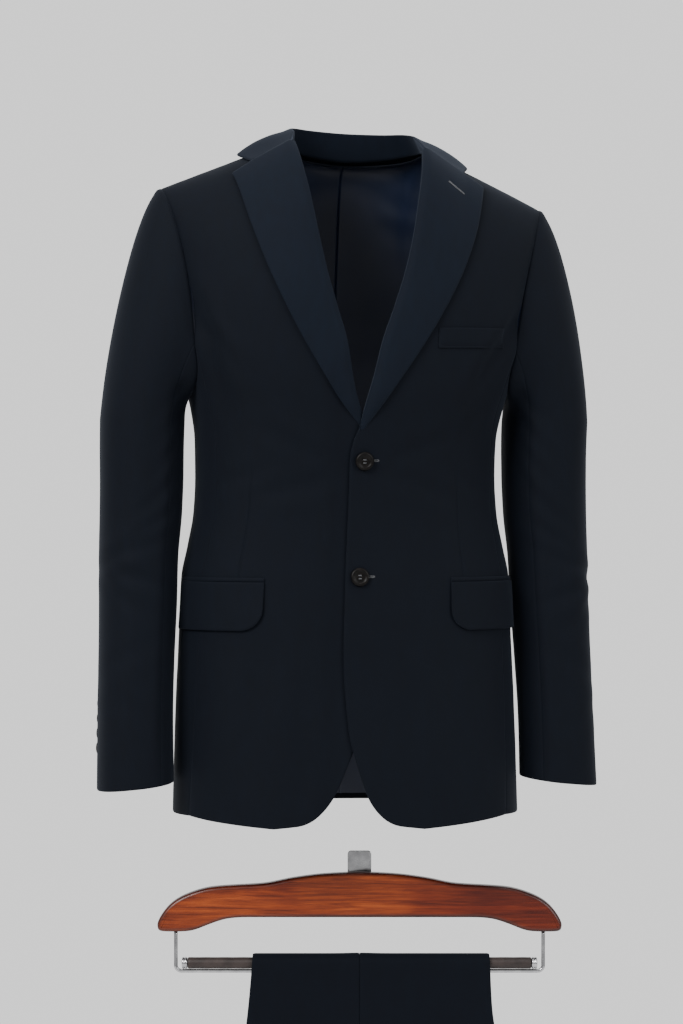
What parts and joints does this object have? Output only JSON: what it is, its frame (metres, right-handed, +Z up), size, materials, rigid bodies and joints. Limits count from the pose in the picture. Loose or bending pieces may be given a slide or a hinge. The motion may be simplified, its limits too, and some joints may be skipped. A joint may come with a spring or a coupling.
{
  "type": "two-piece suit with trouser hanger",
  "caption": "Single-breasted notch-lapel jacket in its worn, hollow form, with matching trousers folded over the bar of a wooden hanger below it.",
  "frame": {"origin": "middle of the neck opening, level with the neck ends of the shoulder seams", "axes": "+Z up, the jacket's front faces -Y, the wearer's left is +X"},
  "size_m": [0.547, 0.2622, 1.493],
  "materials": {
    "navy_worsted": "matte fine worsted wool",
    "dark_button": "polished dark brown",
    "mahogany": "satin lacquer",
    "chrome": "polished",
    "bar_sleeve": "dark ribless sleeve"
  },
  "bodies": {
    "root": {"left_front": "navy_worsted", "left_side_panel": "navy_worsted", "left_back": "navy_worsted", "left_lapel": "navy_worsted", "left_top_sleeve": "navy_worsted", "left_under_sleeve": "navy_worsted", "left_flap": "navy_worsted", "left_flap_jet": "navy_worsted", "left_leg_front": "navy_worsted", "left_leg_back": "navy_worsted", "left_waistband": "navy_worsted", "left_belt_loop_1": "navy_worsted", "left_belt_loop_2": "navy_worsted", "left_belt_loop_3": "navy_worsted", "right_front": "navy_worsted", "right_side_panel": "navy_worsted", "right_back": "navy_worsted", "right_lapel": "navy_worsted", "right_top_sleeve": "navy_worsted", "right_under_sleeve": "navy_worsted", "right_flap": "navy_worsted", "right_flap_jet": "navy_worsted", "right_leg_front": "navy_worsted", "right_leg_back": "navy_worsted", "right_waistband": "navy_worsted", "right_belt_loop_1": "navy_worsted", "right_belt_loop_2": "navy_worsted", "right_belt_loop_3": "navy_worsted", "collar": "navy_worsted", "breast_welt": "navy_worsted", "leg_inner_layers": "navy_worsted", "front_button_upper": "dark_button", "front_button_lower": "dark_button", "left_cuff_button_1": "dark_button", "left_cuff_button_2": "dark_button", "left_cuff_button_3": "dark_button", "left_cuff_button_4": "dark_button", "right_cuff_button_1": "dark_button", "right_cuff_button_2": "dark_button", "right_cuff_button_3": "dark_button", "right_cuff_button_4": "dark_button", "hanger_wood": "mahogany", "hanger_wire": "chrome", "left_bar_cap": "chrome", "right_bar_cap": "chrome", "hanger_bracket": "chrome", "trouser_bar": "bar_sleeve"}
  },
  "joints": []
}
